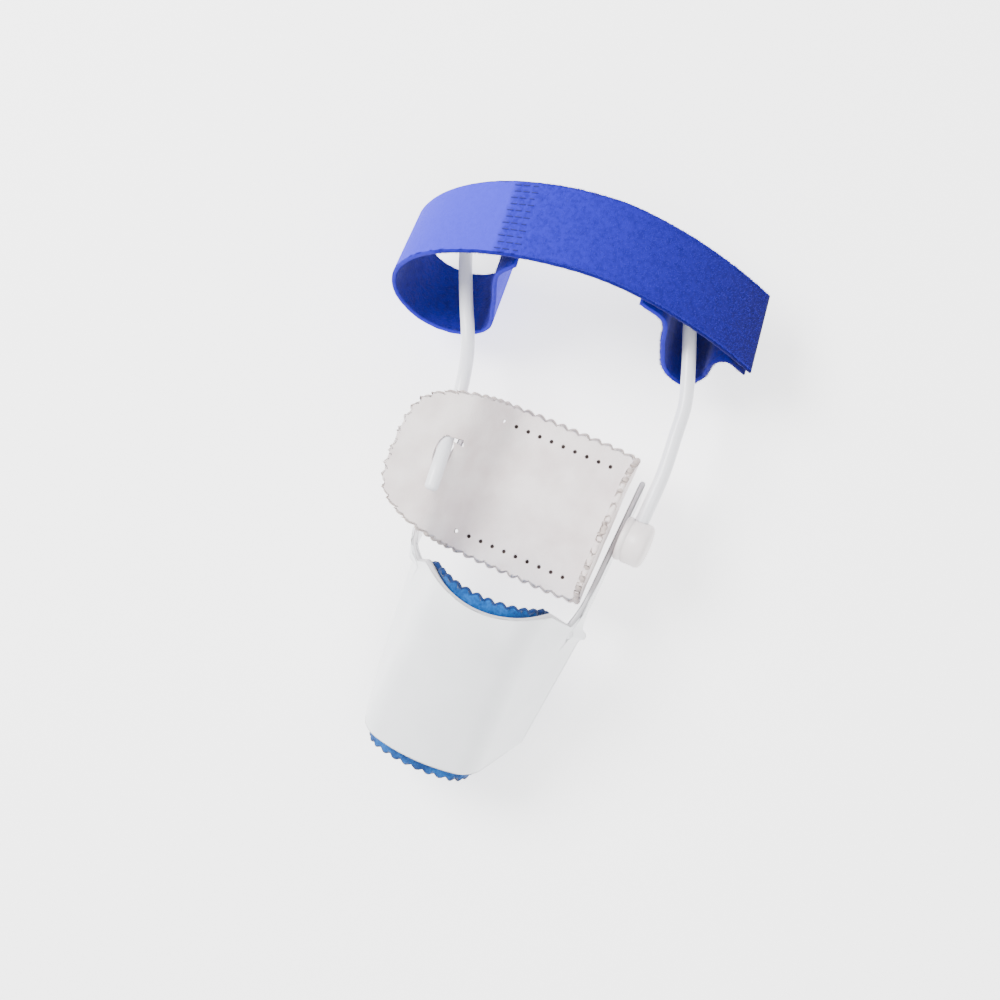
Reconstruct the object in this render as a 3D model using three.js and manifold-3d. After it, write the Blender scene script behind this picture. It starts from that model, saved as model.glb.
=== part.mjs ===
// A bunion corrector: a lined toe plate with two arms, a pinked leather pad slung between the arms,
// two bent side rods clamped under knobs, and a hook-and-loop strap looped round the rods.
// Millimetres, +Z up. X runs across the splint and Y runs from the toe end to the strap end.
// The splint stands on the toe end of its plate and on the loops of its strap.
import * as THREE from "three";
import Module from "manifold-3d";
import { mergeVertices } from "three/addons/utils/BufferGeometryUtils.js";

const wasm = await Module();
wasm.setup();

// Driving dimensions

const clearance = 0.3; // between neighbouring pieces

const plateWall = 1.4;
const plateLength = 45; // along the crown
const plateTilt = 26.6; // degrees, the crown's rise from the toe end
const plateToeY = -69.8; // the crown's toe end
const plateToeZ = 9.5;
const plateToeX = -1.9; // the crown's middle at the toe end and at the rim
const plateRimX = 0.9;
const plateToeCrown = 10; // half of the crown between its corners, at the toe end and at the rim
const plateRimCrown = 7.5;
const plateToeCorner = 8; // radius of the corners, at the toe end and at the rim
const plateRimCorner = 11;
const plateCrownTurn = 18; // degrees, the crown's slope where each corner starts
const plateDepth = 26; // from the crown's top to the free edges of the walls
const plateToeHalf = 20.2; // half width at the free edges, toe end
const plateRimHalf = 23.2; // the same at the rim
const rimScoop = 6.5; // how far the rim is scooped out between the walls
const rimScoopRun = 18; // from the crown's middle to where the scoop ends

const armLength = 52; // along the walls, past the rim
const armWidth = 6.0;
const armTipRound = 2.3; // how far the rounded tip falls back, and over what width
const armTipWidth = 5;
const armHalf = 23; // from the arms' middle to each arm, beside the pad
const armX = -1.2; // the arms' middle
const armBendStart = 33; // from the toe end, where the form begins to level out
const armBendLength = 26;
const armTilt = -18; // degrees, the arms' rise towards the strap
const armTurnLength = 18; // past the rim, where the walls stand up straight into the arms
const armShoulder = 3.5; // the rounded step from rim to arm

const liningWall = 1.5;
const liningProudToe = 4.4; // how far it stands out past each end of the plate
const liningProudRim = 3.6;
const liningScoop = 3.6; // of its own edge at the rim
const liningSetBack = 2.4; // short of the free edges of the walls
const liningGap = 1.15; // between the lining and the plate

const pinkPitch = 3.2; // of the scalloped edges
const pinkDepth = 0.9;

const padWall = 1.6;
const padGap = 1.5; // between the pad's folded sides and the arms
const padHeight = 40.6; // along Y
const padFold = 5; // length of each fold
const padWallRight = 10.5; // straight wall after the right fold
const padFoldLeft = 6.3; // how far short of the arm the left side starts to rise
const padWallLeft = 9.5;
const padLeftRise = 64; // degrees, the left side's slope up to the arm
const padFlap = 12; // the left wall's turned-out flap
const padFlapRise = 10; // degrees
const padCentreY = 0;
const padLobePower = 0.72; // roundness of the outline: the left lobe, the right end and the long edges
const padEndPower = 0.4;
const padEdgePower = 0.5;

const holeRadius = 0.5;
const holePitch = 3.2;
const holeRowInset = 5.4; // of each row from the pad's edge
const holesPerRow = 10;

const rodRadius = 1.75;
const rodGap = 0.45; // round a rod where it passes through the pad or into a knob
const rodDip = 1.6; // how much further the left rod dips under the flap

const knobRadius = 5.6;
const knobLength = 7.6;
const knobEdge = 0.9; // bevel
const knobDome = 0.6;
const knobFace = 2.5; // radius of the flat on the dome
const knobY = 0;
const knobZ = 5.5;

const strapWall = 1.4;
const strapWidth = 22;
const strapTurn = 10; // degrees, the strap's slant across the rods
const strapTilt = 27; // degrees, the arch's slope away from the pad
const strapReach = 46; // half of the strap's span
const strapRise = 26; // of the arch over the rods
const strapOrigin = [-12, 50, 0];

// Divisions of the surfaces and bars
const plateGrid = { columns: 42, rows: 15 };
const liningRows = 8;
const padRows = 6;
const pointsPerScallop = 3;
const rodGrid = { sides: 5, steps: 26 };
const knobSides = 20;
const strapSteps = 64;
const loopSteps = 30;

const radians = THREE.MathUtils.degToRad;
const smooth = (value, from, to) => THREE.MathUtils.smoothstep(value, from, to);
const mix = THREE.MathUtils.lerp;

// Closed solids from surfaces

// A wall of even thickness on a surface: place gives the middle point at shares of the grid, and
// normalAt its outward direction where the grid itself can't.
function wallSolid(columns, rows, wall, place, normalAt) {
  const middle = [];
  for (let i = 0; i <= columns; i++) {
    for (let j = 0; j <= rows; j++) middle.push(place(i / columns, j / rows));
  }
  const at = (i, j) => middle[i * (rows + 1) + j];
  const along = new THREE.Vector3();
  const across = new THREE.Vector3();
  const points = [];
  for (const side of [0.5, -0.5]) {
    for (let i = 0; i <= columns; i++) {
      for (let j = 0; j <= rows; j++) {
        along.subVectors(at(Math.min(i + 1, columns), j), at(Math.max(i - 1, 0), j));
        across.subVectors(at(i, Math.min(j + 1, rows)), at(i, Math.max(j - 1, 0)));
        const normal = normalAt ? normalAt(i / columns, j / rows) : along.clone().cross(across).normalize();
        points.push(at(i, j).clone().addScaledVector(normal, side * wall));
      }
    }
  }
  const layer = (columns + 1) * (rows + 1);
  const node = (i, j, side) => side * layer + i * (rows + 1) + j;
  const faces = [];
  const quad = (a, b, c, d) => faces.push(a, b, c, a, c, d);
  for (let i = 0; i < columns; i++) {
    for (let j = 0; j < rows; j++) {
      quad(node(i, j, 0), node(i + 1, j, 0), node(i + 1, j + 1, 0), node(i, j + 1, 0));
      quad(node(i, j, 1), node(i, j + 1, 1), node(i + 1, j + 1, 1), node(i + 1, j, 1));
    }
    quad(node(i, 0, 0), node(i, 0, 1), node(i + 1, 0, 1), node(i + 1, 0, 0));
    quad(node(i, rows, 0), node(i + 1, rows, 0), node(i + 1, rows, 1), node(i, rows, 1));
  }
  for (let j = 0; j < rows; j++) {
    quad(node(0, j, 0), node(0, j + 1, 0), node(0, j + 1, 1), node(0, j, 1));
    quad(node(columns, j, 0), node(columns, j, 1), node(columns, j + 1, 1), node(columns, j + 1, 0));
  }
  return geometryOf(points, faces);
}

function geometryOf(points, faces) {
  const geometry = new THREE.BufferGeometry();
  geometry.setAttribute(
    "position",
    new THREE.Float32BufferAttribute(points.flatMap((point) => point.toArray()), 3),
  );
  geometry.setIndex(faces);
  return geometry;
}

// A round bar along a curve through the given points.
function barSolid(points, radius, sides, steps) {
  const section = new THREE.Shape().absarc(0, 0, radius, 0, 2 * Math.PI, false);
  const path = new THREE.CatmullRomCurve3(points.map(({ x, y, z }) => new THREE.Vector3(x, y, z)));
  return new THREE.ExtrudeGeometry(section, {
    extrudePath: path,
    steps,
    curveSegments: sides,
    bevelEnabled: false,
  });
}

// Joins and cuts

function solidOf(geometry) {
  const bare = geometry.clone();
  bare.deleteAttribute("normal");
  bare.deleteAttribute("uv");
  const merged = mergeVertices(bare, 1e-4);
  return new wasm.Manifold(
    new wasm.Mesh({
      numProp: 3,
      vertProperties: new Float32Array(merged.attributes.position.array),
      triVerts: new Uint32Array(merged.index.array),
    }),
  );
}

function geometryFrom(solid) {
  const mesh = solid.getMesh();
  const geometry = new THREE.BufferGeometry();
  geometry.setAttribute("position", new THREE.BufferAttribute(mesh.vertProperties, 3));
  geometry.setIndex(new THREE.BufferAttribute(mesh.triVerts, 1));
  return geometry;
}

function cut(geometry, tools) {
  const solid = tools.reduce((left, tool) => left.subtract(solidOf(tool)), solidOf(geometry));
  return geometryFrom(solid);
}

// The toe plate and its lining

// Half of the plate's section, seen along the plate: an arched crown, a rounded corner and a straight
// wall that runs on from the corner to the free edge.
function plateForm(crownHalf, corner, freeHalf) {
  const crownTurn = radians(plateCrownTurn);
  const crownRadius = crownHalf / Math.sin(crownTurn);
  const centreX = crownHalf - corner * Math.sin(crownTurn);
  const centreUp = (crownRadius - corner) * Math.cos(crownTurn) - crownRadius;
  const freeX = freeHalf - centreX;
  const freeUp = -plateDepth - centreUp;
  const wall = Math.sqrt(freeX ** 2 + freeUp ** 2 - corner ** 2);
  const wallTurn = Math.atan2(freeX, freeUp) - Math.atan2(wall, corner);
  const crownRun = crownRadius * crownTurn;
  const cornerRun = corner * (wallTurn - crownTurn);
  const halfRun = crownRun + cornerRun + wall;
  return { crownRadius, crownTurn, crownRun, corner, centreX, centreUp, cornerRun, wallTurn, halfRun };
}

// A place on that half: share runs from 0 at the crown's middle to 1 at the free edge.
function plateSection(share, form) {
  const run = share * form.halfRun;
  if (run <= form.crownRun) {
    const turn = run / form.crownRadius;
    return {
      x: form.crownRadius * Math.sin(turn),
      drop: form.crownRadius * (Math.cos(turn) - 1),
      outX: Math.sin(turn),
      outUp: Math.cos(turn),
    };
  }
  const turn = Math.min(form.crownTurn + (run - form.crownRun) / form.corner, form.wallTurn);
  const past = Math.max(run - form.crownRun - form.cornerRun, 0);
  return {
    x: form.centreX + form.corner * Math.sin(turn) + past * Math.cos(turn),
    drop: form.centreUp + form.corner * Math.cos(turn) - past * Math.sin(turn),
    outX: Math.sin(turn),
    outUp: Math.cos(turn),
  };
}

// The crown's line in the YZ plane at a distance from the toe end: it rises with the plate and
// levels out along the arms.
function crownLine(distance) {
  const angleAt = (run) =>
    radians(mix(plateTilt, armTilt, smooth(run, armBendStart, armBendStart + armBendLength)));
  const straight = Math.min(distance, armBendStart);
  let y = plateToeY + straight * Math.cos(angleAt(0));
  let z = plateToeZ + straight * Math.sin(angleAt(0));
  for (let run = armBendStart; run < distance; run += 1) {
    const piece = Math.min(1, distance - run);
    y += piece * Math.cos(angleAt(run + piece / 2));
    z += piece * Math.sin(angleAt(run + piece / 2));
  }
  return { y, z, angle: angleAt(distance) };
}

// A point of the plate's form: side runs from -1 to 1 across it, inset moves it inwards.
function platePoint(side, distance, inset) {
  const up = distance / plateLength;
  const rim = Math.min(up, 1);
  const past = smooth(distance, plateLength, plateLength + armTurnLength);
  const corner = mix(plateToeCorner, plateRimCorner, rim);
  const uprightCrown = armHalf - corner * (1 - Math.sin(radians(plateCrownTurn)));
  const crownHalf = mix(mix(plateToeCrown, plateRimCrown, rim), uprightCrown, past);
  const freeHalf = mix(mix(plateToeHalf, plateRimHalf, rim), armHalf, past);
  const place = plateSection(Math.abs(side), plateForm(crownHalf, corner, freeHalf));
  const line = crownLine(distance);
  const height = place.drop - inset * place.outUp;
  const middle = mix(mix(plateToeX, plateRimX, rim), armX, past);
  return new THREE.Vector3(
    middle + Math.sign(side) * (place.x - inset * place.outX),
    line.y - height * Math.sin(line.angle),
    line.z + height * Math.cos(line.angle),
  );
}

// Half of the section's length at the rim.
const plateHalfRun = plateForm(plateRimCrown, plateRimCorner, plateRimHalf).halfRun;

// The rim's distance from the toe end: shortest at the crown's middle.
function rimAt(side, scoop) {
  return plateLength + scoop * Math.min((Math.abs(side) * plateHalfRun) / rimScoopRun, 1) ** 2;
}

function toePlateSolid() {
  const armShare = 1 - armWidth / plateHalfRun;
  const shoulderShare = armShoulder / plateHalfRun;
  const tipShare = armTipWidth / plateHalfRun;
  return wallSolid(plateGrid.columns, plateGrid.rows, plateWall, (u, v) => {
    const side = 1 - 2 * u;
    const rise = smooth(Math.abs(side), armShare - shoulderShare, armShare);
    const tip = armTipRound * smooth(Math.abs(side), 1 - tipShare, 1);
    return platePoint(side, v * mix(rimAt(side, rimScoop), plateLength + armLength - tip, rise ** 2), 0);
  });
}

function scallop(run) {
  return pinkDepth * Math.abs(Math.sin((Math.PI * run) / pinkPitch));
}

function liningSolid() {
  const inset = (plateWall + liningWall) / 2 + liningGap;
  const reach = 1 - liningSetBack / plateHalfRun;
  const scallops = Math.round((2 * plateHalfRun * reach) / pinkPitch);
  return wallSolid(scallops * pointsPerScallop, liningRows, liningWall, (u, v) => {
    const side = (1 - 2 * u) * reach;
    const wave = scallop(u * scallops * pinkPitch);
    const bottom = -liningProudToe + pinkDepth - wave;
    const top = rimAt(side, liningScoop) + liningProudRim - pinkDepth + wave;
    return platePoint(side, mix(bottom, top, v), inset);
  });
}

// The pad

// How far a quarter-turn fold carries the leather outwards.
const foldSteps = 20;
const foldReach = Array.from({ length: foldSteps }, (_, i) => (i + 0.5) / foldSteps).reduce(
  (sum, share) => sum + (padFold / foldSteps) * Math.cos((Math.PI / 2) * smooth(share, 0, 1)),
  0,
);
// Half of the flat back: the folded walls stand just inside the arms.
const padBack = armHalf - plateWall / 2 - padGap - padWall / 2 - foldReach;
const padFolds = [
  { at: padBack, turn: 90, side: 1 },
  { at: padBack - padFoldLeft, turn: padLeftRise, side: -1 },
  { at: padBack - padFoldLeft + padFold + padWallLeft, turn: padFlapRise - padLeftRise, side: -1 },
];
const padReachRight = padBack + padFold + padWallRight;
const padReachLeft = padBack - padFoldLeft + 2 * padFold + padWallLeft + padFlap;

// The bent pad's middle surface at a place along the flat leather.
function padPoint(along, up) {
  const side = Math.sign(along) || 1;
  const reach = Math.abs(along);
  const step = 1;
  let x = 0;
  let z = 0;
  for (let run = 0; run < reach; run += step) {
    const piece = Math.min(step, reach - run);
    const angle = padFolds
      .filter((fold) => fold.side === side)
      .reduce((sum, fold) => sum + fold.turn * smooth(run + piece / 2, fold.at, fold.at + padFold), 0);
    x += piece * Math.cos(radians(angle));
    z += piece * Math.sin(radians(angle));
  }
  return new THREE.Vector3(armX + side * x, padCentreY + up, z);
}

// The upper half of the flat leather's outline: a rounded lobe on the left, a straighter end on the
// right. turn runs from nearly 0 at the right end to nearly pi at the left end.
function padOutline(turn) {
  const left = Math.cos(turn) < 0;
  const reach = left ? padReachLeft : padReachRight;
  const along = Math.abs(Math.cos(turn)) ** (left ? padLobePower : padEndPower);
  return [(left ? -1 : 1) * reach * along, (padHeight / 2) * Math.sin(turn) ** padEdgePower];
}

// Points along that half outline, a few to a scallop.
function padEdge() {
  const fine = 1500;
  const start = 0.01;
  const points = [];
  for (let i = 0; i <= fine; i++) points.push(padOutline(mix(start, Math.PI - start, i / fine)));
  const run = [0];
  for (let i = 1; i <= fine; i++) {
    run.push(run[i - 1] + Math.hypot(points[i][0] - points[i - 1][0], points[i][1] - points[i - 1][1]));
  }
  const count = Math.round(run[fine] / pinkPitch) * pointsPerScallop;
  const edge = [];
  for (let k = 0, i = 0; k <= count; k++) {
    const wanted = (run[fine] * k) / count;
    while (i < fine - 1 && run[i + 1] < wanted) i++;
    const share = (wanted - run[i]) / (run[i + 1] - run[i]);
    edge.push([0, 1].map((axis) => mix(points[i][axis], points[i + 1][axis], share)));
  }
  return edge;
}

function padSolid() {
  const edge = padEdge();
  const count = edge.length - 1;
  const flat = (u, v) => {
    const k = Math.round(u * count);
    const [a, b] = edge[k];
    const height = 2 * v - 1;
    const onEdge = Math.abs(height) > 1 - 1 / padRows;
    const outer = onEdge ? pinkDepth - scallop((k / pointsPerScallop) * pinkPitch) : 0;
    const length = Math.hypot(a, b);
    return [a * (1 - outer / length), b * height * (1 - outer / length)];
  };
  const tiny = 0.05;
  const normalAt = (u, v) => {
    const [a, b] = flat(u, v);
    const along = padPoint(a + tiny, b).sub(padPoint(a - tiny, b));
    return new THREE.Vector3(-along.z, 0, along.x).normalize();
  };
  const place = (u, v) => padPoint(...flat(u, 1 - v));
  return wallSolid(count, padRows, padWall, place, (u, v) => normalAt(u, 1 - v));
}

// Round holes through the pad's flat back, a row near each long edge.
function holeTools() {
  const tools = [];
  for (const row of [-1, 1]) {
    for (let i = 0; i < holesPerRow; i++) {
      const hole = new THREE.CylinderGeometry(holeRadius, holeRadius, 3 * padWall, 6);
      hole.rotateX(Math.PI / 2);
      const x = armX + (i - (holesPerRow - 1) / 2) * holePitch;
      hole.translate(x, padCentreY + row * (padHeight / 2 - holeRowInset), 0);
      tools.push(hole);
    }
  }
  return tools;
}

// The rods and their knobs

const knobOverArm = armHalf + plateWall / 2 + clearance;
const rodOut = armX + knobOverArm + rodRadius;

// The heights at which the left rod lies on the pad's flap, and under it past the slit.
const flap = padPoint(-(padReachLeft - padFlap), 0);
const rodSeat = padWall / 2 + rodGap + rodRadius;
const rodOverFlap = flap.z + rodSeat;
const rodUnderFlap = flap.z - rodSeat - rodDip;

// Points along each rod, from its lower end to the strap.
const leftRod = [
  { x: -22.8, y: -8, z: rodOverFlap + 0.5 },
  { x: -23.4, y: -3, z: rodOverFlap },
  { x: -24.8, y: 4.5, z: flap.z - 0.6 },
  { x: -26.6, y: 11.5, z: rodUnderFlap },
  { x: -28.2, y: 20, z: rodUnderFlap - 1.5 },
  { x: -31.4, y: 28.5, z: 3.6 },
  { x: -37, y: 39, z: 0.6 },
  { x: -42.2, y: 49, z: -2.6 },
  { x: -46.4, y: 58, z: -7 },
];
const rightRod = [
  { x: rodOut + 1.4, y: knobY + 1.2, z: knobZ },
  { x: rodOut + 1.6, y: 8, z: knobZ },
  { x: 26.2, y: 18, z: 5.4 },
  { x: 25.2, y: 28, z: 4.6 },
  { x: 24.2, y: 36, z: 3.6 },
  { x: 21.4, y: 44.5, z: 3 },
  { x: 17.6, y: 54, z: 2.2 },
  { x: 14.4, y: 62, z: 1.4 },
];

function rodSolid(points, radius = rodRadius) {
  return barSolid(points, radius, rodGrid.sides, rodGrid.steps);
}

function knobSolid() {
  const profile = [
    [0, 0],
    [knobRadius - knobEdge, 0],
    [knobRadius, knobEdge],
    [knobRadius, knobLength - 2 * knobEdge],
    [knobRadius - knobEdge, knobLength - knobDome],
    [knobFace, knobLength],
    [0, knobLength],
  ].map(([radius, height]) => new THREE.Vector2(radius, height));
  return new THREE.LatheGeometry(profile, knobSides);
}

// A knob on the outside of an arm, its flat face against the arm.
function placedKnob(side) {
  const knob = knobSolid();
  knob.rotateZ((-side * Math.PI) / 2);
  knob.translate(armX + side * knobOverArm, knobY, knobZ);
  return knob;
}

// The strap

// The strap's line seen along its width, from the inner end of the left loop over the arch to the
// free right end. Shares are of strapReach across and strapRise upwards, and lean is the angle in
// degrees at which the strap's width falls away towards the back.
const strapLine = [
  { across: -0.26, up: 0.92, lean: 22 },
  { across: -0.36, up: 0.7, lean: 24 },
  { across: -0.39, up: 0.2, lean: 28 },
  { across: -0.44, up: -0.26, lean: 32 },
  { across: -0.62, up: -0.46, lean: 36 },
  { across: -0.81, up: -0.38, lean: 38 },
  { across: -0.94, up: -0.04, lean: 38 },
  { across: -0.93, up: 0.34, lean: 36 },
  { across: -0.78, up: 0.7, lean: 32 },
  { across: -0.5, up: 0.96, lean: 26 },
  { across: -0.14, up: 1.06, lean: 22 },
  { across: 0.22, up: 0.99, lean: 20 },
  { across: 0.56, up: 0.72, lean: 20 },
  { across: 0.84, up: 0.37, lean: 20 },
  { across: 1.02, up: 0.08, lean: 20 },
];
const rightLoopLine = [
  { across: 0.4, up: 0.77, lean: 20 },
  { across: 0.53, up: 0.58, lean: 20 },
  { across: 0.54, up: 0.2, lean: 20 },
  { across: 0.57, up: -0.2, lean: 20 },
  { across: 0.67, up: -0.36, lean: 20 },
  { across: 0.77, up: -0.18, lean: 20 },
  { across: 0.82, up: 0.1, lean: 20 },
  { across: 0.89, up: 0.17, lean: 20 },
  { across: 0.99, up: 0.03, lean: 20 },
];

function bandSolid(line, steps) {
  const curve = new THREE.CatmullRomCurve3(
    line.map((row) => new THREE.Vector3(row.across * strapReach, 0, row.up * strapRise)),
  );
  const leans = new THREE.CatmullRomCurve3(line.map((row) => new THREE.Vector3(row.lean, 0, 0)));
  const band = wallSolid(steps, 2, strapWall, (u, v) => {
    const lean = radians(leans.getPoint(curve.getUtoTmapping(u)).x - strapTilt);
    const half = (v - 0.5) * strapWidth;
    return curve.getPointAt(u).add(new THREE.Vector3(0, half * Math.cos(lean), -half * Math.sin(lean)));
  });
  band.rotateX(radians(-strapTilt));
  band.rotateZ(radians(strapTurn));
  band.translate(...strapOrigin);
  return band;
}

// Assembly

function piece(name, geometry, color, roughness) {
  const material = new THREE.MeshStandardMaterial({ color, roughness, metalness: 0 });
  const mesh = new THREE.Mesh(geometry, material);
  mesh.name = name;
  return mesh;
}

const white = 0xf2f4f6;
const leather = 0xece6e5;
const feltBlue = 0x2a78b8;
const strapBlue = 0x4a4bc4;
const knobPink = 0xdad4d2;

const splint = new THREE.Group();
const leftKnob = placedKnob(-1);
const socket = [{ ...rightRod[0], y: rightRod[0].y - 1 }, ...rightRod.slice(1, 4)];
const rightKnob = cut(placedKnob(1), [rodSolid(socket, rodRadius + rodGap)]);
const pad = cut(padSolid(), [...holeTools(), rodSolid(leftRod, rodRadius + rodGap)]);
splint.add(
  piece("toe_plate", toePlateSolid(), white, 0.4),
  piece("plate_lining", liningSolid(), feltBlue, 0.95),
  piece("bunion_pad", pad, leather, 0.8),
  piece("left_rod", rodSolid(leftRod), white, 0.35),
  piece("right_rod", rodSolid(rightRod), white, 0.35),
  piece("left_knob", leftKnob, knobPink, 0.5),
  piece("right_knob", rightKnob, knobPink, 0.5),
  piece("instep_strap", bandSolid(strapLine, strapSteps), strapBlue, 0.95),
  piece("right_loop", bandSolid(rightLoopLine, loopSteps), strapBlue, 0.95),
);

// The splint stands on its lowest point, with the middle of its outline over the origin.
const outline = new THREE.Box3().setFromObject(splint, true);
const middle = outline.getCenter(new THREE.Vector3());
splint.position.set(-middle.x, -middle.y, -outline.min.z);

export default splint;
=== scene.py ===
# The bunion corrector's looks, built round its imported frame. Lengths are in millimetres in the
# working frame of the part, and are moved to the row frame in metres when a mesh is made.
import math

import bpy
import numpy as np
from mathutils import Matrix, Vector, noise


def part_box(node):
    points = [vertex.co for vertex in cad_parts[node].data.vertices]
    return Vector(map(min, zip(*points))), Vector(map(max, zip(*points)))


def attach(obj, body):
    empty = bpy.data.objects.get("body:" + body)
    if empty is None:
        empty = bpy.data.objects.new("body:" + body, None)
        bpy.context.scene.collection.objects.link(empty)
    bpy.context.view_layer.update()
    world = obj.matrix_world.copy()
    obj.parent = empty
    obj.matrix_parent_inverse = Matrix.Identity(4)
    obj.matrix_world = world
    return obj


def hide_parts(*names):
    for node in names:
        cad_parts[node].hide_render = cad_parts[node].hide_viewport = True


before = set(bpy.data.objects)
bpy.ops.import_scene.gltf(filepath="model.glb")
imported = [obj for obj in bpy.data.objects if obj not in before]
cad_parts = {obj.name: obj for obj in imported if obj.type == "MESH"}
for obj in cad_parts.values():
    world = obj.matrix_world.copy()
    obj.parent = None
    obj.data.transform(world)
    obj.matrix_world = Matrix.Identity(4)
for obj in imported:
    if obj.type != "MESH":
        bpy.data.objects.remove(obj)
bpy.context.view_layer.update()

# Driving dimensions, as in the part, but that the arms' bend is more even, the tape is thinner, since
# its pile stands on it, and the holes have a floor. Where there are two, the toe end's comes first.

METRE = 1000  # in millimetres
CLEARANCE = 0.3
PLATE_WALL = 1.4
PLATE_LENGTH = 45
PLATE_TILT = 26.6
PLATE_TOE = (-1.9, -69.8, 9.5)
PLATE_RIM_X = 0.9
PLATE_CROWN = (10, 7.5)
PLATE_CORNER = (8, 11)
PLATE_HALF = (20.2, 23.2)
PLATE_CROWN_TURN = math.radians(18)
PLATE_DEPTH = 26
RIM_SCOOP = 6.5
RIM_SCOOP_RUN = 18
ARM_LENGTH = 52
ARM_WIDTH = 6.0
ARM_TIP_ROUND = 2.3
ARM_TIP_WIDTH = 5
ARM_HALF = 23
ARM_X = -1.2
ARM_BEND_START = 33
ARM_BEND_LENGTH = 26
ARM_BEND_EASE = 0.15  # the share of the bend that eases in, and the same out
ARM_TILT = -18
ARM_TURN_LENGTH = 18
ARM_SHOULDER = 3.5
LINING_WALL = 1.5
LINING_PROUD = (4.4, 3.6)
LINING_SET_BACK = 2.4
LINING_GAP = 1.15
LINING_SCOOP = 3.6
PINK_PITCH = 3.2
PINK_DEPTH = 0.9
PAD_WALL = 1.6
PAD_GAP = 1.5
PAD_HEIGHT = 40.6
PAD_FOLD = 5
PAD_WALL_RIGHT = 10.5
PAD_FOLD_LEFT = 6.3
PAD_WALL_LEFT = 9.5
PAD_LEFT_RISE = 64
PAD_FLAP = 12
PAD_FLAP_RISE = 10
PAD_LOBE_POWER = 0.72  # a smaller power gives a squarer end
PAD_END_POWER = 0.4
PAD_EDGE_POWER = 0.5
HOLE_RADIUS = 0.5
HOLE_PITCH = 3.2
HOLE_ROW_INSET = 5.4
HOLES_PER_ROW = 10
HOLE_FLOOR = -0.15  # all holes but the leftmost ones end here, just over the underside
ROD_RADIUS = 1.75
ROD_GAP = 0.45
ROD_DIP = 1.6
KNOB_RADIUS = 5.6
KNOB_LENGTH = 7.6
KNOB_Y = 0
KNOB_Z = 5.5
STRAP_WALL = 1.15
STRAP_WIDTH = 22
STRAP_TURN = 10
STRAP_TILT = 27
STRAP_REACH = 46
STRAP_RISE = 26
STRAP_ORIGIN = (-12, 50, 0)


def mix(a, b, share):
    """From a to b by a share."""
    return a + (b - a) * share


def smooth(value, low, high):
    """From 0 to 1 as a value goes from low to high, with soft ends."""
    share = min(max((value - low) / (high - low), 0), 1)
    return share * share * (3 - 2 * share)


# The working frame's origin in the row frame: the right knob's box tells where it is.
knob_low, knob_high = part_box("right_knob")
KNOB_OVER_ARM = ARM_HALF + PLATE_WALL / 2 + CLEARANCE
ORIGIN = Vector(
    (
        knob_low[0] - (ARM_X + KNOB_OVER_ARM) / METRE,
        (knob_low[1] + knob_high[1]) / 2 - KNOB_Y / METRE,
        (knob_low[2] + knob_high[2]) / 2 - KNOB_Z / METRE,
    )
)


def row(point):
    """A working-frame point in millimetres, in the row frame in metres."""
    return ORIGIN + Vector(point) / METRE


def fuzz(point, scale, seed=0.0):
    """Smooth noise from -1 to 1 at a point."""
    return noise.noise(Vector(point) * scale + Vector((seed, seed * 0.7, -seed)))


# Meshes


def mesh_object(name, points, faces, node, slot, materials, sides=None, runs=None):
    """A piece that rides on the body. sides picks each face's material, and runs is each point's
    share along the piece, for its material."""
    mesh = bpy.data.meshes.new(name)
    mesh.from_pydata([row(p) for p in points], [], faces)
    for material in materials:
        mesh.materials.append(material)
    if sides is not None:
        mesh.polygons.foreach_set("material_index", sides)
    if runs is not None:
        mesh.attributes.new("run", "FLOAT", "POINT").data.foreach_set("value", runs)
    mesh.shade_smooth()
    obj = bpy.data.objects.new(name, mesh)
    bpy.context.collection.objects.link(obj)
    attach(obj, "root")
    if node:
        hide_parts(node)
    return obj


EDGE_STEPS = 4
EDGE_ROUND = 0.85  # how deep a wall's rounded edge is, as a share of half the wall
TINY = 1e-9


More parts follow.
